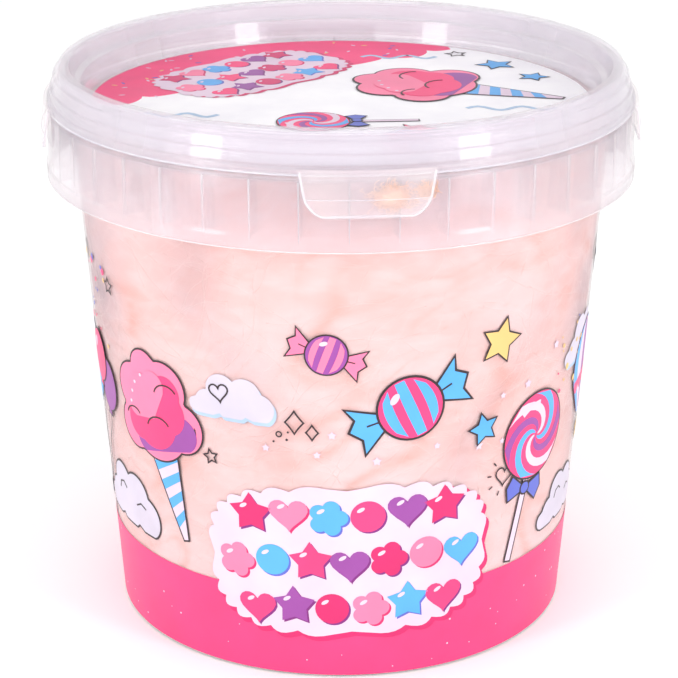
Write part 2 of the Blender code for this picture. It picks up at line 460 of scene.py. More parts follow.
def edge_material(name, low_color, high_color, alpha):
    """A pale film whose tint is a little uneven."""
    material = new_material(name, high_color, 0.3, Alpha=alpha)
    cloud = object_noise(material, 90.0)
    tint_between(material, cloud.outputs["Fac"], low_color, high_color)
    return material


def spike_corner(upper, outer):
    """A slim spike of painted highlight runs down the outer edge of each rib."""
    half = SPIKE_HALF_TOP if upper else SPIKE_HALF_LOW
    z = FLANGE - 1.2 if upper else RIB_LOW - 0.6
    return RIB_OUT_R + (half if outer else -half), half, z


def edge_ring(name, radius, z, thickness):
    """A thin round ring about the tub's axis."""
    bm = bmesh.new()
    sections = []
    for step in range(TURN_STEPS):
        section = []
        for corner in range(RING_CORNERS):
            angle = math.radians(FULL_TURN * corner / RING_CORNERS)
            spot = around(step * FULL_TURN / TURN_STEPS, radius + thickness * math.cos(angle), z)
            spot.z += thickness * math.sin(angle)
            section.append(bm.verts.new(spot * MM))
        sections.append(section)
    for one, two in zip(sections, sections[1:] + sections[:1]):
        for i in range(RING_CORNERS):
            j = (i + 1) % RING_CORNERS
            bm.faces.new((one[i], two[i], two[j], one[j]))
    return finished(bm, name)


# This pale film is painted highlight, on the spikes of the ribs and on the ring at the collar's lip.
lip_light = edge_material("tub_edge_light", (0.95, 0.89, 0.92), (1.0, 0.97, 0.98), 0.4)
rib_highlights = settle(upright_bars("rib_edge_highlights", spike_corner), lip_light)
lip_highlight_ring = edge_ring("collar_lip_highlight", COLLAR_LIP_R - 0.08, COLLAR_LOW + 0.1, LIP_HIGHLIGHT_THICK)
lip = settle(lip_highlight_ring, lip_light, sharp=180.0)
print("bright edges:", rib_highlights.name, lip.name)

# %% [markdown]
# ## The lid
#
# The lid is one more profile: a raised rim that is hollow underneath and fits over the tub's rim, a
# small step inside it, and a sunk panel that carries the print.

# %% Lid shell
LID_CORNERS = [
    (0.0, PANEL_Z, 0.0),
    (PANEL_R + 0.3, PANEL_Z, 0.5),
    (PANEL_R + 1.6, 124.8, 0.3),
    (59.7, 125.2, 0.3),
    (60.5, 127.7, 0.8),
    (61.0, LID_TOP, 0.8),
    (63.1, LID_TOP, 0.9),
    (63.95, 126.9, 0.2),
    (64.5, 126.6, 0.15),
    (64.75, 124.3, 0.2),
    (65.25, 124.0, 0.15),
    (65.45, 122.0, 0.2),
    (LID_EDGE_R, 121.7, 0.2),
    (LID_EDGE_R, LID_EDGE_Z, 0.3),
    (65.2, LID_EDGE_Z, 0.3),
    (64.5, 122.2, 0.6),
    (63.3, 126.6, 0.5),
    (62.9, 127.9, 0.4),
    (61.6, 127.9, 0.4),
    (61.3, 127.2, 0.4),
    (60.5, 124.6, 0.4),
    (PANEL_R + 2.2, 124.1, 0.4),
    (PANEL_R + 0.9, PANEL_Z - LID_THICK, 0.5),
    (0.0, PANEL_Z - LID_THICK, 0.0),
]
lid = settle(turned("lid_shell", LID_CORNERS), lid_plastic)
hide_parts("lid")
print("lid shell:", len(LID_CORNERS), "corners,", len(lid.data.polygons), "faces")

# %% [markdown]
# ### Pull tabs
#
# Four pull tabs hang from the lid's edge. Each is a curved plate with a bead along its sides and
# foot. The plate is a grid whose width follows the tab's outline, thickened by Solidify, and the
# bead is a thin round tube. The plates are thinner than the rim, so they are clearer, and their
# beads carry the same pale film of painted highlight as the other edges. A fine line runs across
# each, where a finger stops, with that painted highlight too.

# %% Shape of a tab
TAB_AZIMUTHS = (4.7, 90.0, 184.7, 274.7)
TAB_HALF_TOP = 14.3
TAB_HALF_LOW = 12.5
TAB_CORNER = 4.5
TAB_HIGH = 121.4
TAB_LOW = 111.6
TAB_R = 66.75
TAB_LEAN = 0.9
TAB_THICK = 0.7
TAB_BEAD = 0.28
RIDGE_Z = 115.4
RIDGE_BEAD = 0.1


def tab_half_width(z):
    """Half the tab's width at a height: straight sides, then round lower corners."""
    straight = TAB_HALF_LOW + (TAB_HALF_TOP - TAB_HALF_LOW) * (z - TAB_LOW) / (TAB_HIGH - TAB_LOW)
    into_corner = max(0.0, TAB_LOW + TAB_CORNER - z)
    return straight - TAB_CORNER + math.sqrt(max(0.0, TAB_CORNER**2 - into_corner**2))


def tab_radius(z):
    """Outside radius of a tab: it leans out a little towards its foot."""
    share = (TAB_HIGH - z) / (TAB_HIGH - TAB_LOW)
    return TAB_R + TAB_LEAN * math.sin(share * math.pi / 2)


def tab_point(azimuth, sideways, z, radius):
    """A point in metres, some way along the tab's curve from its middle."""
    return around(azimuth + math.degrees(sideways / radius), radius, z) * MM


def tab_plate(name, azimuth, columns=30, rows=18):
    """The plate of one tab, as an open grid with Solidify."""
    bm = bmesh.new()
    grid = []
    for row in range(rows + 1):
        z = TAB_LOW + (TAB_HIGH - TAB_LOW) * (row / rows) ** 1.6
        half = tab_half_width(z)
        radius = tab_radius(z)
        line = [half * (2.0 * column / columns - 1.0) for column in range(columns + 1)]
        grid.append([bm.verts.new(tab_point(azimuth, s, z, radius)) for s in line])
    for low, high in zip(grid, grid[1:]):
        for i in range(columns):
            bm.faces.new((low[i], low[i + 1], high[i + 1], high[i]))
    plate = finished(bm, name)
    thicken = plate.modifiers.new("Thickness", "SOLIDIFY")
    thicken.thickness = TAB_THICK * MM
    thicken.offset = -1.0
    return plate


print("a tab is", 2 * TAB_HALF_TOP, "mm wide and", round(TAB_HIGH - TAB_LOW, 1), "mm high")


# %% Beads of a tab
def tube(name, points, thickness):
    """A round bead through a chain of points, in metres, as a closed mesh."""
    curve = bpy.data.curves.new(name, "CURVE")
    curve.dimensions = "3D"
    curve.bevel_depth = thickness
    curve.bevel_resolution = 2
    curve.use_fill_caps = True
    spline = curve.splines.new("POLY")
    spline.points.add(len(points) - 1)
    for spot, point in zip(spline.points, points):
        spot.co = (*point, 1.0)
    drawn = new_object(name + "_curve", curve)
    graph = bpy.context.evaluated_depsgraph_get()
    mesh = bpy.data.meshes.new_from_object(drawn.evaluated_get(graph))
    bpy.data.objects.remove(drawn, do_unlink=True)
    bm = bmesh.new()
    bm.from_mesh(mesh)
    bmesh.ops.remove_doubles(bm, verts=bm.verts, dist=0.01 * MM)
    return finished(bm, name)


def tab_bead(name, azimuth):
    """The raised bead that follows a tab's sides and foot."""
    heights = [TAB_LOW + 0.3 + (TAB_HIGH - 0.9 - TAB_LOW) * (i / 16) ** 1.8 for i in range(17)]
    side = [(tab_half_width(z) - 0.35, z) for z in heights]
    path = list(reversed(side)) + [(-s, z) for s, z in side]
    points = [tab_point(azimuth, s, z, tab_radius(z) - 0.12) for s, z in path]
    return tube(name, points, TAB_BEAD * MM)


def tab_ridge(name, azimuth):
    """The fine line across a tab, where a finger stops."""
    half = tab_half_width(RIDGE_Z) - 0.6
    radius = tab_radius(RIDGE_Z) - 0.08
    points = [tab_point(azimuth, half * (i / 10 - 1), RIDGE_Z, radius) for i in range(21)]
    return tube(name, points, RIDGE_BEAD * MM)


def joined(name, helpers, material, sharp=38.0):
    """Unite several closed helpers into one piece."""
    whole = helpers[0]
    whole.name = name
    for helper in helpers[1:]:
        join_to(whole, helper)
    return settle(whole, material, sharp, helpers=helpers[1:])


print("bead radius:", TAB_BEAD, "mm")

# %% Tabs and edge of the lid
LID_HIGHLIGHT_THICK = 0.24
tab_film = edge_material("tab_film", (0.92, 0.79, 0.84), (0.98, 0.88, 0.90), 0.22)
# This pale film is painted highlight, on the tabs' beads and ridges and on the ring at the lid's edge.
lid_light = edge_material("lid_edge_light", (0.90, 0.88, 0.96), (0.98, 0.96, 1.0), 0.27)
plates = [tab_plate(f"tab_plate_{azimuth}", azimuth) for azimuth in TAB_AZIMUTHS]
tabs = joined("pull_tabs", plates, tab_film)
beads = [tab_bead(f"tab_bead_{azimuth}", azimuth) for azimuth in TAB_AZIMUTHS]
beads += [tab_ridge(f"tab_ridge_{azimuth}", azimuth) for azimuth in TAB_AZIMUTHS]
tab_lines = joined("tab_beads_and_highlight", beads, lid_light)
lid_highlight_ring = edge_ring("lid_edge_highlight", LID_EDGE_R - 0.15, LID_EDGE_Z + 0.3, LID_HIGHLIGHT_THICK)
edge_line = settle(lid_highlight_ring, lid_light, sharp=180.0)
print("tabs:", len(TAB_AZIMUTHS), "with", len(tab_lines.data.polygons), "faces in their beads")

# %% [markdown]
# ## The cotton candy
#
# Spun sugar is packed in as one soft armful. It presses flat against the wall, and goes slack in
# long folds, most at the sides. A fold is given by its azimuth, its height, its lean in degrees a
# millimetre, its half width and how slack it is. Creases come from noise whose place is itself
# moved by noise, and whose zero line is sharpened to a valley, as wrapped wadding does.

# %% Folds and creases
CANDY_FOLDS = (
    (-82.0, 82.0, 0.10, 26.0, 3.2),
    (-28.0, 88.0, -0.35, 10.0, 1.0),
    (22.0, 44.0, 0.70, 9.0, 1.0),
    (86.0, 78.0, -0.10, 24.0, 3.0),
    (124.0, 58.0, 0.45, 12.0, 1.2),
    (160.0, 86.0, -0.50, 12.0, 1.2),
    (-150.0, 40.0, 0.40, 11.0, 1.3),
    (-122.0, 66.0, -0.45, 12.0, 1.2),
)
FOLD_HALF_HEIGHT = 46.0
NOISE_R = 55.0


def slow_noise(azimuth, z, scale, seed):
    """Noise on the tub's side that has no seam, between about -1 and 1."""
    spot = around(azimuth, NOISE_R, z) / scale
    return noise.noise(spot + Vector((seed, 2.0 * seed, -seed)))


def slackness(azimuth, z):
    """How slack the folds leave the candy, from 0 to about 3. Their edges are ragged."""
    slack = 0.0
    ragged = 1.0 + 0.25 * slow_noise(azimuth, z, 6.0, 14.0) + 0.4 * slow_noise(azimuth, z, 13.0, 15.0)
    for fold_azimuth, fold_z, lean, half_width, slackest in CANDY_FOLDS:
        wander = 7.0 * slow_noise(azimuth, z, 16.0, fold_azimuth)
        middle = fold_azimuth + lean * (z - fold_z) + wander
        across = (azimuth - middle + 180.0) % FULL_TURN - 180.0
        along = (z - fold_z) / FOLD_HALF_HEIGHT
        slack += slackest * math.exp(-((across / half_width) ** 2) - along**2)
    return slack * ragged


def swag_angle(azimuth):
    """How far along a swag an azimuth lies, in radians. Two swags hang round the tub."""
    return math.radians(2.0 * azimuth + 40.0)


def draped(azimuth, z):
    """A place on the side, moved as if the wadding were draped in loose swags."""
    swag = 15.0 * math.sin(swag_angle(azimuth))
    warp = 9.0 * slow_noise(azimuth, z, 34.0, 2.0) + 4.0 * slow_noise(azimuth, z, 13.0, 4.0)
    side = 14.0 * slow_noise(azimuth, z, 30.0, 8.0)
    return azimuth + side, z - swag + warp


def valley(azimuth, z, length, height, seed, width):
    """A sharp valley, 0 to 1, along the zero line of stretched noise."""
    spot = around(azimuth, NOISE_R / length, 0.0)
    value = noise.noise(spot + Vector((seed, -seed, z / height)))
    return max(0.0, 1.0 - abs(value) / width) ** 1.5


def crease_share(azimuth, z):
    """How much of a crease lies here, from 0 to 1."""
    where = draped(azimuth, z)
    broad = valley(*where, 34.0, 17.0, 3.0, 0.16)
    fine = valley(*where, 17.0, 7.0, 9.0, 0.12)
    calm = min(1.0, max(0.0, 0.55 + 1.3 * slow_noise(azimuth, z, 24.0, 12.0)))
    return min(1.0, 0.85 * broad * calm + 0.4 * fine * (1.0 - 0.6 * calm))


front_crease = max(crease_share(0.0, z) for z in range(20, 110))
print("folds:", len(CANDY_FOLDS), "and the strongest crease in front:", round(front_crease, 2))

# %% [markdown]
# ### The candy's mesh
#
# The mesh is a grid round the axis: its radius is the wall's, less shallow folds and creases. All of
# it ends inside the wall's thickness, so no air gap shows, and the shade of the slack places is
# painted into the material's colour. Each vertex remembers how slack and how creased its place is,
# for the material's painted shade.

# %% Mesh of the candy
FOLD_DEPTH = 0.12
CREASE_DEPTH = 0.45
DEEPEST = 0.6
INTO_WALL = 0.2
CANDY_COLUMNS = 360
CANDY_ROWS = 130
CAP_ROWS = 10


def edge_rounding(z):
    """How far the candy draws in near its top and its bottom."""
    edge = min(z - CANDY_LOW, CANDY_HIGH - z)
    return 1.6 * max(0.0, 1.0 - edge / 5.0) ** 2


def candy_relief(azimuth, z):
    """Depth behind the fullest outline in millimetres, how slack the candy is, and the crease."""
    slack = slackness(azimuth, z)
    crease = crease_share(azimuth, z)
    lumps = 0.25 * slow_noise(azimuth, z, 20.0, 5.0)
    drawn_in = max(0.0, FOLD_DEPTH * slack + lumps + CREASE_DEPTH * crease)
    return DEEPEST * (1.0 - math.exp(-drawn_in / DEEPEST)) + edge_rounding(z), slack, crease


def candy_mesh(name):
    """Rings up the side, closed by rings that shrink to the middle of the top and the bottom."""
    bm = bmesh.new()
    slack_layer = bm.verts.layers.float.new("slack")
    crease_layer = bm.verts.layers.float.new("crease")
    rings = []
    for row in range(-CAP_ROWS + 1, CANDY_ROWS + CAP_ROWS):
        side_row = min(max(row, 0), CANDY_ROWS)
        beyond = abs(row - side_row) / CAP_ROWS
        z_side = CANDY_LOW + (CANDY_HIGH - CANDY_LOW) * side_row / CANDY_ROWS
        ring = []
        for column in range(CANDY_COLUMNS):
            azimuth = column * FULL_TURN / CANDY_COLUMNS
            depth, slack, crease = candy_relief(azimuth, z_side)
            radius = (wall_radius(z_side) - INTO_WALL - depth) * (1.0 - beyond)
            point = around(azimuth, radius, z_side)
            if beyond:
                dip = 0.5 + 0.5 * noise.noise(point / 14.0)
                point.z += math.copysign(dip * min(1.0, 4.0 * beyond), -row)
            vert = bm.verts.new(point * MM)
            vert[slack_layer] = slack
            vert[crease_layer] = crease
            ring.append(vert)
        rings.append(ring)
    for low, high in zip(rings, rings[1:]):
        for i in range(CANDY_COLUMNS):
            j = (i + 1) % CANDY_COLUMNS
            bm.faces.new((low[i], low[j], high[j], high[i]))
    bm.faces.new(list(reversed(rings[0])))
    bm.faces.new(rings[-1])
    return finished(bm, name)


candy = candy_mesh("candy_floss")
print("candy:", len(candy.data.polygons), "faces")

# %% [markdown]
# ### The candy's colour
#
# The floss itself is matt and streaked with fibres. Four things make its colour, each laid over the
# last: a slow noise for paler and peachier patches, a painted shade of darker peach along the crease
# that each vertex remembers, a stretched fine noise for the fibres, and a painted grey shade on the
# slack places, where little light gets in.


# %% Candy material
def share_of(material, value, low, high, most):
    """Turn a value between low and high into a share between 0 and most."""
    share = add_node(material, "ShaderNodeMapRange")
    share.inputs["From Min"].default_value = low
    share.inputs["From Max"].default_value = high
    share.inputs["To Max"].default_value = most
    link(material, value, share.inputs["Value"])
    return share.outputs["Result"]


def lay_over(material, color, share, over):
    """Mix a second colour over the first by a share."""
    mix = add_node(material, "ShaderNodeMix", data_type="RGBA")
    mix.inputs["B"].default_value = (*over, 1.0)
    link(material, color, mix.inputs["A"])
    link(material, share, mix.inputs["Factor"])
    return mix.outputs["Result"]


def remembered(material, name):
    """A value that the mesh keeps for each vertex."""
    return add_node(material, "ShaderNodeAttribute", attribute_name=name).outputs["Fac"]


def floss_material(name):
    """Matt streaked sugar, from four layers of colour: two of them are painted shade."""
    material = new_material(name, (0.95, 0.66, 0.62), 0.85)
    patches = object_noise(material, 26.0, 3.0)
    ramp = tint_between(material, patches.outputs["Fac"], (0.85, 0.49, 0.445), (0.88, 0.64, 0.635))
    fibres = object_noise(material, 330.0, 6.0, stretch=(0.4, 0.4, 1.0))
    crease = share_of(material, remembered(material, "crease"), 0.05, 0.8, 0.7)
    pale = share_of(material, fibres.outputs["Fac"], 0.45, 0.75, 0.4)
    slack = share_of(material, remembered(material, "slack"), 0.3, 3.2, 0.72)
    # Painted shade: the creases turn a darker peach.
    color = lay_over(material, ramp.outputs["Color"], crease, (0.80, 0.36, 0.29))
    color = lay_over(material, color, pale, (0.93, 0.77, 0.77))
    # Painted shade: the slack places turn grey, where little light gets in.
    color = lay_over(material, color, slack, (0.31, 0.20, 0.25))
    link(material, color, shader_of(material).inputs["Base Color"])
    add_bump(material, fibres.outputs["Fac"], 0.0005, 0.5)
    return material


floss = floss_material("candy_floss")
settle(candy, floss, sharp=180.0)
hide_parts("candy")
print("candy material:", floss.name)

# %% [markdown]
# ### Loose fibres
#
# Close to, floss is a mat of sugar threads. Particles would do it, but they vanish when a model is
# exported, so each thread is a real three-sided tube. A thread starts anywhere on the side and
# wanders along the drapes, just above the surface.

# %% Threads
THREADS = 1100
THREAD_POINTS = 13
THREAD_STEP = 2.3
THREAD_R = 0.04


def add_thread(bm, points, radius):
    """A three-sided tube through a chain of points, closed at both ends."""
    rings = []
    for i, point in enumerate(points):
        way = (points[min(i + 1, len(points) - 1)] - points[max(i - 1, 0)]).normalized()
        out = Vector((point.x, point.y, 0.0)).normalized()
        side = way.cross(out).normalized()
        thirds = (out, side * 0.87 - out * 0.5, -side * 0.87 - out * 0.5)
        rings.append([bm.verts.new((point + third * radius) * MM) for third in thirds])
    for one, two in zip(rings, rings[1:]):
        for i in range(3):
            j = (i + 1) % 3
            bm.faces.new((one[i], one[j], two[j], two[i]))
    bm.faces.new(rings[0][::-1])
    bm.faces.new(rings[-1])


def thread_path(rng):
    """A wandering line on the candy's side."""
    azimuth = rng.uniform(0.0, FULL_TURN)
    z = rng.uniform(CANDY_LOW + 6.0, CANDY_HIGH - 6.0)
    heading = rng.gauss(0.0, 0.5) + 0.5 * math.cos(swag_angle(azimuth))
    above = rng.uniform(-0.02, 0.03)
    points = []
    for _ in range(THREAD_POINTS):
        z = min(max(z, CANDY_LOW + 3.0), CANDY_HIGH - 3.0)
        depth = candy_relief(azimuth, z)[0]
        points.append(around(azimuth, wall_radius(z) - INTO_WALL - depth + above, z))
        heading += rng.gauss(0.0, 0.22)
        azimuth += THREAD_STEP * math.cos(heading)
        z += THREAD_STEP * math.sin(heading)
    return points


def thread_material(name, low_color, high_color):
    """Sugar fibres, between two tints."""
    material = new_material(name, high_color, 0.6)
    shades = object_noise(material, 160.0, 2.0)
    tint_between(material, shades.outputs["Fac"], low_color, high_color)
    return material


rng = random.Random(5)
bm = bmesh.new()
for _ in range(THREADS):
    add_thread(bm, thread_path(rng), THREAD_R)
threads = finished(bm, "floss_threads")
settle(threads, thread_material("floss_threads", (0.90, 0.67, 0.64), (0.95, 0.80, 0.78)), sharp=180.0)
print("threads in the tub:", THREADS)

# %% [markdown]
# ### The caught tuft
#
# A small tuft of floss is caught between the collar and the front pull tab, where it was pinched
# when the tub was closed, with a few fibres more beside it. Its middle is a flat matted lump, and
# short curls stick out of it, each of them a tube like the threads.

# %% Tuft
TUFT_THREADS = 800
TUFT_POINTS = 8
TUFT_STEP = 0.3
TUFT_THREAD_R = 0.05
TUFT_AZIMUTH = 9.0
TUFT_Z = 115.6
TUFT_R = 66.4
WAD_HALF_TURN = 2.3
WAD_HALF_THICK = 0.18
WAD_HALF_HEIGHT = 1.5


def tuft_path(rng, azimuth, z, spread):
    """A short curl in the gap behind the front tab."""
    azimuth += rng.gauss(0.0, 1.35 * spread)
    z += rng.gauss(0.0, 0.95 * spread)
    radius = TUFT_R + rng.uniform(-0.2, 0.2)
    heading = rng.uniform(0.0, 2.0 * math.pi)
    points = []
    for _ in range(TUFT_POINTS):
        points.append(around(azimuth, radius, z))
        heading += rng.gauss(0.0, 0.9)
        azimuth += TUFT_STEP * math.cos(heading)
        z += TUFT_STEP * math.sin(heading)
    return points


def add_wad(bm):
    """The tuft's matted middle: a flat uneven lump."""
    for vert in bmesh.ops.create_icosphere(bm, subdivisions=4, radius=1.0)["verts"]:
        swell = 1.0 + 0.5 * noise.noise(vert.co * 2.2) + 0.2 * noise.noise(vert.co * 6.0)
        azimuth = TUFT_AZIMUTH + WAD_HALF_TURN * vert.co.x * swell
        radius = TUFT_R - WAD_HALF_THICK * vert.co.y
        vert.co = around(azimuth, radius, TUFT_Z + WAD_HALF_HEIGHT * vert.co.z * swell) * MM


bm = bmesh.new()
add_wad(bm)
for _ in range(TUFT_THREADS):
    add_thread(bm, tuft_path(rng, TUFT_AZIMUTH, TUFT_Z, 1.0), TUFT_THREAD_R)
for _ in range(TUFT_THREADS // 5):
    add_thread(bm, tuft_path(rng, TUFT_AZIMUTH + 5.9, TUFT_Z + 1.1, 0.45), TUFT_THREAD_R)
tuft = finished(bm, "floss_tuft")
settle(tuft, thread_material("floss_tuft", (0.98, 0.56, 0.35), (0.99, 0.70, 0.50)), sharp=180.0)
print("curls in the tuft:", TUFT_THREADS + TUFT_THREADS // 5)

# %% [markdown]
# ## The print: ink on a curved wall
#
# On the real tub the print is a thin film, moulded into the plastic. It could be an image on the
# surface, but then it would have no edges of its own. Here each colour of ink is one thin closed
# film. A motif is drawn flat, in millimetres, as if on paper. A spot then bends the drawing on to
# the wall, or lays it on the lid. Each layer lies a hair further out, as overprinted inks do.
# All films of one colour and place become one mesh, and Solidify gives it its thickness.

# %% Spots for the drawings
INK_LIFT = 0.05
INK_STEP = 0.035
INK_THICK = 0.03
films = {}


def wall_spot(azimuth, z, turn=0.0, size=1.0):
    """A spot on the wall: its place, and a function that bends flat points on to it."""
    cos_turn = math.cos(math.radians(turn)) * size
    sin_turn = math.sin(math.radians(turn)) * size
    radius_here = wall_radius(z)

    def bend(x, y, lift):
        sideways = x * cos_turn - y * sin_turn
        height = z + x * sin_turn + y * cos_turn
        degrees = math.degrees(sideways / radius_here)
        return around(azimuth + degrees, wall_radius(height) + lift, height)

    return "wall", bend


def panel_spot(x_middle, y_middle, turn=0.0, size=1.0):
    """A spot on the lid's sunk panel, seen from above."""
    cos_turn = math.cos(math.radians(turn)) * size
    sin_turn = math.sin(math.radians(turn)) * size

    def lay(x, y, lift):
        across = x_middle + x * cos_turn - y * sin_turn
        back = y_middle + x * sin_turn + y * cos_turn
        return Vector((across, back, PANEL_Z + lift))

    return "lid", lay


def keep_film(spot, color, points, faces, layer):
    """Add bent points and their faces to the film of this colour and place."""
    place, bend = spot
    verts, polygons = films.setdefault((place, color), ([], []))
    first = len(verts)
    lift = INK_LIFT + INK_STEP * layer
    verts += [bend(x, y, lift) * MM for x, y in points]
    polygons += [tuple(first + i for i in face) for face in faces]


place, bend = wall_spot(0.0, 50.0)
print("a spot 50 mm up the front puts its middle at", [round(v, 1) for v in bend(0.0, 0.0, 0.0)])

# %% [markdown]
# ### Filling and lines
#
# `ink` fills an outline. The outline is cut into short edges and gets a grid of points inside, so
# that its triangles are small enough to follow the curve. `offset` moves a line sideways, which
# serves twice: `bordered` puts a slightly larger dark shape under a coloured one, and `ribbon` draws
# a line of even width.

# %% Fill and line
GRID = 2.5
BORDER = 0.38


def area_of(outline):
    """The area inside an outline, negative where it runs clockwise."""
    pairs = zip(outline, outline[1:] + outline[:1])
    return 0.5 * sum(a[0] * b[1] - b[0] * a[1] for a, b in pairs)


def anticlockwise(outline):
    """The same outline, running anticlockwise."""
    return outline if area_of(outline) > 0 else outline[::-1]


def finely(chain, closed=True):
    """The same chain with no edge longer than the grid."""
    fine = []
    for a, b in zip(chain, chain[1:] + chain[:1]):
        parts = max(1, math.ceil(math.dist(a, b) / GRID))
        shares = [part / parts for part in range(parts)]
        fine += [(a[0] + (b[0] - a[0]) * t, a[1] + (b[1] - a[1]) * t) for t in shares]
    if closed:
        return fine
    back_home = max(1, math.ceil(math.dist(chain[-1], chain[0]) / GRID))
    return fine[: len(fine) - back_home + 1]


def encloses(outline, x, y):
    """Whether a point is inside: a line from it crosses the outline an odd number of times."""
    inside = False
    for (ax, ay), (bx, by) in zip(outline, outline[1:] + outline[:1]):
        if (ay > y) != (by > y) and x < ax + (y - ay) * (bx - ax) / (by - ay):
            inside = not inside
    return inside


def grid_inside(edge):
    """Grid points inside an outline, clear of its edge."""
    low_x = min(x for x, y in edge)
    high_x = max(x for x, y in edge)
    low_y = min(y for x, y in edge)
    high_y = max(y for x, y in edge)
    points = []
    for row in range(int((high_y - low_y) / GRID)):
        for column in range(int((high_x - low_x) / GRID)):
            spot = (low_x + GRID * (column + 0.55), low_y + GRID * (row + 0.55))
            if encloses(edge, *spot) and min(math.dist(spot, p) for p in edge) > 0.3 * GRID:
                points.append(spot)
    return points


def ink(spot, color, outline, layer=0):
    """Fill an outline with one ink. Only the curved wall needs points inside."""
    edge = finely(anticlockwise(outline))
    inner = grid_inside(edge) if spot[0] == "wall" else []
    rim = [(i, (i + 1) % len(edge)) for i in range(len(edge))]
    points, _, faces, *_ = delaunay_2d_cdt([Vector(p) for p in edge + inner], rim, [], 1, 1e-5)
    points = [tuple(p) for p in points]
    faces = [f if area_of([points[i] for i in f]) > 0 else f[::-1] for f in faces]
    keep_film(spot, color, points, faces, layer)


def offset(chain, by, closed=True):
    """Move a chain sideways, to the right of its way, with mitred corners."""
    moved = []
    for i, (x, y) in enumerate(chain):
        before = chain[i - 1] if closed or i > 0 else chain[i]
        after = chain[(i + 1) % len(chain)] if closed or i < len(chain) - 1 else chain[i]
        come = Vector((x - before[0], y - before[1])).normalized()
        go = Vector((after[0] - x, after[1] - y)).normalized()
        way = (come + go).normalized() if (come + go).length > 0.01 else come
        mitre = by * min(2.0, 1.0 / max(0.2, way.dot(go if go.length > 0 else come)))
        moved.append((x + way.y * mitre, y - way.x * mitre))
    return moved


def ribbon(spot, color, chain, width, layer=0, closed=False):
    """A line of even width along a chain of points."""
    chain = finely(chain, closed)
    count = len(chain)
    points = offset(chain, -width / 2, closed) + offset(chain, width / 2, closed)
    faces = []
    for i in range(count if closed else count - 1):
        j = (i + 1) % count
        faces.append((i, count + i, count + j, j))
    keep_film(spot, color, points, faces, layer)


def bordered(spot, color, outline, layer=0):
    """A filled shape over a slightly larger dark one."""
    outline = anticlockwise(outline)
    ink(spot, "charcoal", offset(outline, BORDER), layer)
    ink(spot, color, outline, layer + 1)


print("fill and line ready")

# %% [markdown]
# ### Outlines
#
# Stars, hearts and clouds are short formulas. A cloud is the outside of a heap of circles, found
# by looking out from its middle and keeping the furthest circle in each direction. A twinkle is a
# circle whose sides are raised to a power until they turn hollow.


# %% Outlines
def signed_power(value, power):
    """A power of a value's size, with the value's sign."""
    return math.copysign(abs(value) ** power, value)


def turn_angles(steps):
    """Even angles round a full turn, in radians."""
    return [2 * math.pi * step / steps for step in range(steps)]


def ellipse(x, y, width, height, turn=0.0, steps=28):
    cos_lean = math.cos(math.radians(turn))
    sin_lean = math.sin(math.radians(turn))
    points = []
    for angle in turn_angles(steps):
        across = width / 2 * math.cos(angle)
        up = height / 2 * math.sin(angle)
        points.append((x + across * cos_lean - up * sin_lean, y + across * sin_lean + up * cos_lean))
    return points


def arc(radius, start, end, steps, x=0.0, y=0.0, flat=1.0):
    """Points along an arc, from one angle to another, in radians."""
    angles = [start + (end - start) * step / steps for step in range(steps + 1)]
    return [(x + radius * math.cos(t), y + flat * radius * math.sin(t)) for t in angles]


def dot(x, y, radius, steps=14):
    return ellipse(x, y, 2 * radius, 2 * radius, steps=steps)


def star(radius, x=0.0, y=0.0, inner=0.5, tips=5):
    points = []
    for step in range(2 * tips):
        reach = radius if step % 2 == 0 else radius * inner
        angle = math.pi / 2 + math.pi * step / tips
        points.append((x + reach * math.cos(angle), y + reach * math.sin(angle)))
    return points


def heart(width, x=0.0, y=0.0, steps=30):
    points = []
    for t in turn_angles(steps):
        across = 16 * math.sin(t) ** 3
        up = 13 * math.cos(t) - 5 * math.cos(2 * t) - 2 * math.cos(3 * t) - math.cos(4 * t)
        points.append((x + across * width / 32, y + up * width / 32))
    return points


def twinkle(radius, x=0.0, y=0.0):
    """A four-pointed twinkle with hollow sides."""
    points = []
    for t in turn_angles(24):
        across = 0.75 * radius * signed_power(math.cos(t), 2.2)
        up = radius * signed_power(math.sin(t), 2.2)
        points.append((x + across, y + up))
    return points


def puffs(circles, floor_y=-1000.0, x=0.0, y=0.0, steps=96):
    """The outside of a heap of circles, each given as (x, y, radius)."""
    points = []
    for angle in turn_angles(steps):
        way = Vector((math.cos(angle), math.sin(angle)))
        reach = 0.0
        for circle_x, circle_y, radius in circles:
            along = way.x * circle_x + way.y * circle_y
            room = radius**2 - (circle_x**2 + circle_y**2 - along**2)
            if room > 0:
                reach = max(reach, along + math.sqrt(room))
        points.append((x + way.x * reach, y + max(way.y * reach, floor_y)))
    return points


def flower(width, x=0.0, y=0.0):
    petals = [(0.3 * width * math.cos(t), 0.3 * width * math.sin(t), 0.23 * width) for t in turn_angles(5)]
    return puffs(petals, x=x, y=y, steps=60)


def scalloped(width, height, bumps, depth):
    """A rounded label with a scalloped edge."""
    points = []
    for t in turn_angles(6 * bumps):
        bump = depth * abs(math.sin(bumps * t / 2))
        across = signed_power(math.cos(t), 0.62) * (width / 2 + bump)
        up = signed_power(math.sin(t), 0.62) * (height / 2 + bump)
        points.append((across, up))
    return points


print("points in a star, a heart and a flower:", len(star(5)), len(heart(5)), len(flower(5)))

# %% [markdown]
# ### Small motifs
#
# The print's theme is a sweet shop at a funfair. Clouds, outlined hearts and stars, twinkles and
# confetti fill the gaps between the larger drawings.


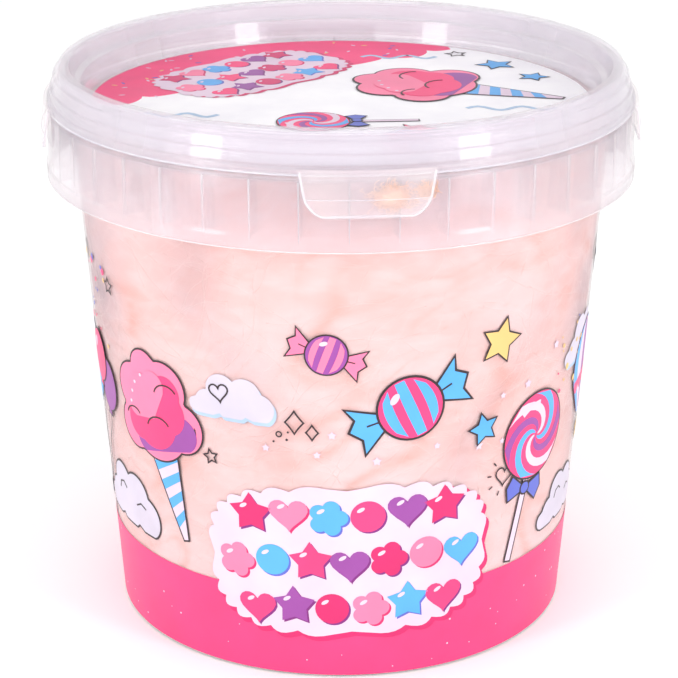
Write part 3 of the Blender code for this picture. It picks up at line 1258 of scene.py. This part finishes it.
# %% Small motifs
def cloud(spot, layer=0, outlined=False):
    heap = [(0, 0, 4.6), (-6.2, -1.2, 3.4), (6.4, -0.9, 3.8), (-2.6, 2.6, 3.9), (3.1, 2.2, 4.0)]
    heap.append((-9.4, -2.0, 2.0))
    body = puffs(heap, floor_y=-4.0)
    if outlined:
        bordered(spot, "frost", body, layer)
        ribbon(spot, "charcoal", [(-4.2, 1.2), (-3.6, 2.6), (-2.0, 3.1), (-0.8, 2.2)], 0.3, layer + 2)
        ribbon(spot, "charcoal", [(3.0, 0.4), (4.6, 1.2), (6.2, 0.6)], 0.3, layer + 2)
    else:
        ink(spot, "mist", [(x + 0.5, y - 0.8) for x, y in body], layer)
        ink(spot, "frost", body, layer + 1)


def heart_line(spot, width=5.0, rays=0, layer=4):
    ribbon(spot, "charcoal", heart(width), 0.36, layer, closed=True)
    for angle in turn_angles(rays):
        way = Vector((math.cos(angle + 0.3), math.sin(angle + 0.3))) * width
        ribbon(spot, "charcoal", [tuple(0.76 * way), tuple(0.98 * way)], 0.34, layer)


def twinkles(spot, layer=4):
    ribbon(spot, "charcoal", twinkle(2.7), 0.36, layer, closed=True)
    ribbon(spot, "charcoal", twinkle(1.8, 3.8, -2.2), 0.34, layer, closed=True)
    ribbon(spot, "charcoal", dot(-3.4, -3.0, 0.6), 0.3, layer, closed=True)
    for x, y, radius in ((-1.7, -4.2, 0.3), (-4.6, -4.8, 0.26), (-1.4, -2.4, 0.26)):
        ink(spot, "charcoal", dot(x, y, radius, 8), layer)


def plump_star(spot, color, radius, layer=4):
    bordered(spot, color, star(radius), layer)


def star_line(spot, radius=2.0, layer=4):
    ribbon(spot, "charcoal", star(radius), 0.36, layer, closed=True)


def confetti(spot, rng, width=16.0, height=24.0, count=18, layer=3):
    """Loose round sprinkles."""
    for _ in range(count):
        x = rng.uniform(-width / 2, width / 2)
        y = rng.uniform(-height / 2, height / 2)
        radius = rng.choice((0.28, 0.38, 0.55, 0.8))
        color = rng.choice(("lemon", "lemon", "rose", "periwinkle"))
        ink(spot, color, dot(x, y, radius), layer)


print("small motifs ready")

# %% [markdown]
# ### Sweet-shop motifs
#
# Candy floss on a paper cone, a swirl lollipop, balloons, a wrapped sweet and a striped hot-air
# balloon. All are common funfair things. Each is a stack of filled shapes with a dark line round
# it, and the curved parts are worked out: a spiral for the lollipop, narrowing strips for the
# balloon's cloth.


# %% Candy floss on a cone
def floss_on_cone(spot, layer=2):
    def half_width(y):
        return 0.5 + 3.1 * (y + 24.0) / 18.0

    cone = [(-half_width(-6.0), -6.0), (half_width(-6.0), -6.0), (0.5, -24.0), (-0.5, -24.0)]
    bordered(spot, "icing", cone, layer)
    for low in (-21.5, -17.7, -13.9, -10.1):
        corners = ((-1, low), (1, low + 1.7), (1, low + 3.6), (-1, low + 1.9))
        ink(spot, "sky", [(side * half_width(y), y) for side, y in corners], layer + 2)
    whole = [(0, 0, 8.2), (-6.6, -1.4, 4.6), (6.4, -1.8, 4.9), (-4.6, 5.6, 5.0), (4.4, 5.8, 5.2)]
    whole.append((0, 9.4, 3.8))
    under = [(2.4, -3.0, 5.6), (6.2, -3.0, 3.6), (-3.6, -3.6, 3.2)]
    heart_of_it = [(-0.6, 0.2, 6.2), (3.8, 1.2, 4.4), (-4.8, -0.6, 3.6), (4.6, 4.8, 3.6)]
    lit = [(-1.8, 4.8, 4.0), (-4.6, 3.0, 2.8), (1.8, 6.4, 2.9)]
    bordered(spot, "blush", puffs(whole), layer + 3)
    ink(spot, "violet", puffs(under, floor_y=-6.4), layer + 5)
    ink(spot, "rose", puffs(heart_of_it), layer + 6)
    ink(spot, "blush", puffs(lit), layer + 7)
    for x, y, size in ((-6.6, 0.2, 2.4), (4.6, 4.2, 3.0), (0.4, -2.2, 3.2)):
        ribbon(spot, "charcoal", arc(size, 0.3, 2.7, 8, x, y, flat=0.8), 0.32, layer + 8)
    for x, y in ((-5.2, 5.2), (-3.6, 7.0), (-6.4, 3.2), (-1.2, 8.4)):
        ink(spot, "icing", dot(x, y, 0.34, 8), layer + 8)


print("motif: candy floss on a cone")


# %% Lollipop
def lollipop(spot, layer=2):
    radius = 9.2
    bordered(spot, "icing", [(-0.7, -27.0), (0.7, -27.0), (0.7, -8.0), (-0.7, -8.0)], layer)
    bordered(spot, "rose", dot(0, 0, radius, 48), layer + 2)
    for number, color in enumerate(("icing", "violet", "sky", "icing", "violet", "sky")):
        left = []
        right = []
        for step in range(13):
            reach = radius * (0.06 + 0.94 * step / 12)
            swirl = math.radians(60.0 * number) + 2.4 * step / 12
            left.append((reach * math.cos(swirl), reach * math.sin(swirl)))
            right.append((reach * math.cos(swirl + 0.55), reach * math.sin(swirl + 0.55)))
        ink(spot, color, left + right[::-1], layer + 4)
    ribbon(spot, "icing", arc(0.76 * radius, 1.7, 2.5, 8), 0.9, layer + 5)
    for side in (-1, 1):
        loop = [(0.0, -11.2), (side * 4.4, -8.8), (side * 5.4, -11.2), (side * 4.4, -13.8)]
        bordered(spot, "periwinkle", loop, layer + 4)
    bordered(spot, "periwinkle", dot(0, -11.2, 1.2), layer + 6)


print("motif: lollipop")


# %% Balloons
def balloon(spot, color, x, y, layer):
    string = []
    for step in range(9):
        down = step / 8
        string.append((x * (1 - down) + 0.6 * math.sin(1.3 * step), y - 6.4 - down * (18.0 + y)))
    ribbon(spot, "charcoal", string, 0.32, layer)
    bordered(spot, color, [(x, y - 5.2), (x - 1.1, y - 7.0), (x + 1.1, y - 7.0)], layer + 1)
    bordered(spot, color, ellipse(x, y, 9.4, 11.8, steps=36), layer + 1)
    ink(spot, "icing", ellipse(x - 2.1, y + 2.4, 1.5, 3.4, turn=-28, steps=18), layer + 3)


def balloons(spot, layer=2):
    balloon(spot, "sky", -5.6, 1.0, layer)
    balloon(spot, "violet", 5.4, 2.2, layer + 3)
    balloon(spot, "rose", 0.2, 7.2, layer + 6)


print("motif: balloons")


# %% Wrapped sweet
def wrapped_sweet(spot, color, stripe, layer=2):
    radius = 4.9
    for side in (-1, 1):
        fan = [(4.0, 0.8), (8.8, 3.9), (8.1, 1.9), (9.6, 0.4), (8.2, -1.5), (8.8, -3.7), (4.0, -0.8)]
        bordered(spot, stripe, [(side * x, y) for x, y in fan], layer)
        ribbon(spot, "charcoal", [(side * 4.6, 0.1), (side * 7.0, 0.3)], 0.28, layer + 2)
    bordered(spot, color, dot(0, 0, radius, 36), layer + 2)
    for left, right in ((-4.0, -2.4), (-0.9, 0.9), (2.4, 4.0)):
        band = []
        for edge, heights in ((left, range(-8, 9)), (right, range(8, -9, -1))):
            reach = math.sqrt(radius**2 - edge**2)
            band += [(edge * math.sqrt(1 - 0.25 * (k / 8) ** 2), reach * k / 8 * 0.97) for k in heights]
        ink(spot, stripe, band, layer + 4)
    ink(spot, "icing", ellipse(-1.6, 2.5, 2.0, 1.1, turn=35, steps=16), layer + 5)


print("motif: wrapped sweet")


# %% Hot-air balloon
def hot_air_balloon(spot, layer=2):
    def half_width(y):
        if y > -2.5:
            return 9.6 * math.sqrt(max(0.0, 1.0 - ((y - 1.0) / 10.4) ** 2))
        return 2.6 + (half_width(-2.49) - 2.6) * ((y + 12.0) / 9.5) ** 0.85

    heights = [-12.0 + 23.38 * k / 30 for k in range(31)]
    right = [(half_width(y), y) for y in heights]
    bordered(spot, "rose", right + [(-x, y) for x, y in reversed(right)], layer)
    edges = (-1.0, -0.68, -0.26, 0.26, 0.68, 1.0)
    for number, color in enumerate(("sky", "icing", "violet", "icing", "sky")):
        strip = [(edges[number] * half_width(y), y) for y in heights]
        strip += [(edges[number + 1] * half_width(y), y) for y in reversed(heights)]
        ink(spot, color, strip, layer + 2)
    swags = []
    for k in range(31):
        across = half_width(-3.0) * (k / 15 - 1)
        swags.append((across, -3.0 - 2.0 * abs(math.sin(math.pi * k / 6))))
    ink(spot, "rose", swags + [(swags[-1][0], -1.6), (swags[0][0], -1.6)], layer + 3)
    for side in (-1, 1):
        ribbon(spot, "charcoal", [(side * 2.4, -12.0), (side * 2.0, -15.6)], 0.32, layer)
    bordered(spot, "lemon", [(-2.4, -15.4), (-2.0, -19.0), (2.0, -19.0), (2.4, -15.4)], layer + 1)
    ribbon(spot, "charcoal", [(-2.1, -17.1), (2.1, -17.1)], 0.28, layer + 3)


print("motif: hot-air balloon")

# %% [markdown]
# ### The label
#
# A pale scalloped label with a deep pink shadow sits in front. It has no words: three rows of
# plump sugar shapes fill it, each with a shadow and a small shine.

# %% Label
SUGAR_ROWS = (
    (11.4, ("star", "heart", "flower", "drop", "heart", "star")),
    (0.0, ("flower", "drop", "star", "heart", "flower", "drop", "heart")),
    (-11.4, ("heart", "star", "drop", "flower", "star", "heart")),
)
SUGAR_COLORS = (
    ("raspberry", "plum"),
    ("sky", "periwinkle"),
    ("violet", "plum"),
    ("blush", "raspberry"),
    ("rose", "plum"),
)
SUGAR_SIZE = 8.0
SUGAR_PITCH = 8.5


def sugar_outline(kind, size, x, y):
    """The outline of one of the label's sugar shapes."""
    if kind == "heart":
        return heart(1.08 * size, x, y)
    if kind == "star":
        return star(0.62 * size, x, y, inner=0.58)
    if kind == "flower":
        return flower(1.02 * size, x, y)
    return dot(x, y, 0.47 * size, 28)


def label(spot, layer=4):
    """The pale label with its shadow and its rows of sugar shapes."""
    outline = scalloped(62.0, 35.0, 28, 1.2)
    ink(spot, "raspberry", [(x + 0.9, y - 1.2) for x, y in outline], layer)
    ink(spot, "icing", outline, layer + 1)
    count = 0
    for row_y, kinds in SUGAR_ROWS:
        for number, kind in enumerate(kinds):
            x = (number - (len(kinds) - 1) / 2) * SUGAR_PITCH
            y = row_y + 0.6 * math.sin(1.9 * count)
            color, shade = SUGAR_COLORS[(3 * count) % len(SUGAR_COLORS)]
            ink(spot, shade, sugar_outline(kind, SUGAR_SIZE, x + 0.4, y - 0.45), layer + 2)
            ink(spot, color, sugar_outline(kind, SUGAR_SIZE, x, y), layer + 3)
            ink(spot, "icing", ellipse(x - 1.5, y + 1.7, 1.9, 0.9, turn=30, steps=12), layer + 4)
            count += 1
    return count


print("rows on the label:", [len(kinds) for _, kinds in SUGAR_ROWS])

# %% [markdown]
# ### The wall's design
#
# A plain pink field runs all round the foot, with loose white specks. Above it the same design is
# printed twice, once in front and once behind, as on most tubs. The upper third stays clear, so
# that the floss shows.

# %% Print the wall
FIELD_LOW = 0.7
FIELD_HIGH = 21.4
FIELD_STEPS = 180


def pink_field():
    """The plain band of pink round the foot."""
    verts, polygons = films.setdefault(("wall", "rose"), ([], []))
    first = len(verts)
    for step in range(FIELD_STEPS):
        for z in (FIELD_LOW, FIELD_HIGH):
            verts.append(around(FULL_TURN * step / FIELD_STEPS, wall_radius(z) + INK_LIFT, z) * MM)
    for step in range(FIELD_STEPS):
        low, high = first + 2 * step, first + 2 * step + 1
        next_low = first + 2 * ((step + 1) % FIELD_STEPS)
        polygons.append((low, next_low, next_low + 1, high))


def wall_design(middle, rng):
    """One half of the wall's print, centred on an azimuth."""
    def at(azimuth, z, turn=0.0, size=1.0):
        return wall_spot(middle + azimuth, z, turn, size)

    cloud(at(-80, 62, size=1.1))
    cloud(at(-62, 31, size=1.3), outlined=True)
    balloons(at(-74, 56, turn=-4, size=1.05))
    floss_on_cone(at(-46, 57, turn=14, size=1.2))
    cloud(at(-24, 66, size=0.95))
    heart_line(at(-27, 68, turn=8), 4.6)
    star_line(at(-61, 84))
    star_line(at(-30, 52, turn=12), 1.8)
    twinkles(at(-10, 63))
    label(at(2, 29.5, turn=2))
    wrapped_sweet(at(15, 66, turn=24, size=1.45), "rose", "sky")
    plump_star(at(36, 78, turn=-14), "lemon", 5.2)
    plump_star(at(33, 58, turn=14), "sky", 3.6)
    wrapped_sweet(at(-3, 79, turn=-20, size=0.9), "violet", "blush")
    lollipop(at(50, 52, turn=-12, size=1.12))
    heart_line(at(40, 45, turn=-6), 5.0, rays=9)
    cloud(at(68, 30, size=1.1), outlined=True)
    cloud(at(72, 68, size=1.0))
    hot_air_balloon(at(78, 60, turn=6))
    plump_star(at(-86, 26, turn=20), "sky", 2.6)
    plump_star(at(88, 84, turn=10), "sky", 4.4)
    confetti(at(-70, 76), rng)
    confetti(at(64, 66), rng)
    for _ in range(12):
        spot = at(rng.uniform(-20, 66), rng.uniform(52, 74))
        plump = star(rng.uniform(0.8, 1.2))
        ink(spot, "icing", plump, 1)


rng = random.Random(11)
pink_field()
for _ in range(110):
    speck = wall_spot(rng.uniform(0, FULL_TURN), rng.uniform(2.0, FIELD_HIGH - 1.0))
    ink(speck, "icing", dot(0, 0, rng.choice((0.13, 0.17, 0.24)), 6), 1)
for middle in (0.0, 180.0):
    wall_design(middle, rng)
print("inks on the wall:", sorted(color for place, color in films if place == "wall"))

# %% [markdown]
# ### The lid's design
#
# The panel is a pale disc. Pink icing runs in from one side and ends in rounded drips. The drawings
# lie turned to one side of the pull tab, so they read from the right of the tub.

# %% Print the lid
DISC_R = 56.4
DRAWING_TURN = 68.0


def icing_field():
    """The pink part of the disc: an arc of its edge, closed by a row of drips."""
    edge = arc(DISC_R, math.radians(62.0), math.radians(187.0), 40)
    first = Vector(edge[-1])
    along = Vector(edge[0]) - first
    aside = Vector((along.y, -along.x)).normalized()
    drips = []
    for step in range(1, 90):
        share = step / 90
        drip = 4.2 * abs(math.sin(7.5 * math.pi * share)) ** 0.6 * (0.75 + 0.25 * math.sin(23.0 * share))
        point = first + along * share + aside * drip
        drips.append(tuple(point))
    return edge + drips


spot = panel_spot(0, 0)
ink(spot, "veil", dot(0, 0, DISC_R, 120))
ink(spot, "rose", icing_field(), 1)
for _ in range(46):
    angle = math.radians(rng.uniform(66, 183))
    reach = rng.uniform(41.0, 54.6)
    speck = panel_spot(reach * math.cos(angle), reach * math.sin(angle), rng.uniform(0, FULL_TURN))
    ink(speck, rng.choice(("icing", "lemon", "icing", "periwinkle")), ellipse(0, 0, 1.5, 0.6, steps=10), 2)
label(panel_spot(-21.0, 22.5, DRAWING_TURN - 22.0, 0.78), 3)
floss_on_cone(panel_spot(20.0, 11.0, DRAWING_TURN, 1.35), 3)
lollipop(panel_spot(-6.0, -22.0, DRAWING_TURN + 26.0, 0.85), 3)
wrapped_sweet(panel_spot(14.0, -34.0, DRAWING_TURN, 1.0), "sky", "rose", 3)
plump_star(panel_spot(37.0, 31.0, 20.0), "sky", 4.4, 3)
plump_star(panel_spot(45.0, 19.0, 50.0), "sky", 3.4, 3)
star_line(panel_spot(28.0, 42.0, 10.0), 2.6, 3)
twinkles(panel_spot(-28.0, -34.0, DRAWING_TURN), 3)
heart_line(panel_spot(36.0, -22.0, DRAWING_TURN), 4.6, rays=9, layer=3)
for x, y, size in ((14.0, 39.0, 9.0), (-36.0, -16.0, 9.0), (38.0, -10.0, 10.0)):
    wave = [(x + size * (k / 8 - 1.0), y + 1.6 * math.sin(0.8 * k)) for k in range(17)]
    ribbon(spot, "mist", wave, 1.2, 2)
print("inks on the lid:", sorted(color for place, color in films if place == "lid"))

# %% [markdown]
# ### Ink
#
# Printed film is glossy but not mirror-like, and its colour is never quite even. A slow noise moves
# each ink a little lighter and darker, and a fine bump breaks up the gloss.

# %% Ink colours and films
INKS = {
    "rose": (245, 66, 125),
    "raspberry": (212, 44, 108),
    "blush": (249, 127, 164),
    "violet": (153, 76, 158),
    "plum": (129, 48, 126),
    "sky": (89, 171, 236),
    "periwinkle": (97, 108, 199),
    "mist": (173, 197, 225),
    "lemon": (236, 196, 124),
    "icing": (228, 204, 223),
    "frost": (208, 200, 216),
    "veil": (252, 248, 255),
    "charcoal": (56, 44, 49),
}


def from_screen(color):
    """Turn the 0 to 255 numbers of a screen colour into light."""
    light = []
    for value in color:
        share = value / 255
        light.append(share / 12.92 if share <= 0.04045 else ((share + 0.055) / 1.055) ** 2.4)
    return tuple(light)


def ink_material(color_name):
    """Glossy printed film in one of the inks."""
    color = from_screen(INKS[color_name])
    material = new_material("ink_" + color_name, color, 0.38, Specular_IOR_Level=0.35)
    patches = object_noise(material, 90.0, 3.0)
    darker = tuple(0.93 * c for c in color)
    lighter = tuple(min(1.0, 1.04 * c) for c in color)
    tint_between(material, patches.outputs["Fac"], darker, lighter)
    grain = object_noise(material, 1500.0, 1.0)
    add_bump(material, grain.outputs["Fac"], 0.00004, 0.25)
    return material


ink_materials = {name: ink_material(name) for name in INKS}
for (place, color), (verts, polygons) in sorted(films.items()):
    name = f"{place}_print_{color}"
    mesh = bpy.data.meshes.new(name)
    mesh.from_pydata(verts, [], polygons)
    film = new_object(name, mesh)
    thicken = film.modifiers.new("Thickness", "SOLIDIFY")
    thicken.thickness = INK_THICK * MM
    thicken.offset = -1.0
    settle(film, ink_materials[color], sharp=60.0)
    print(name, len(film.data.polygons), "faces")
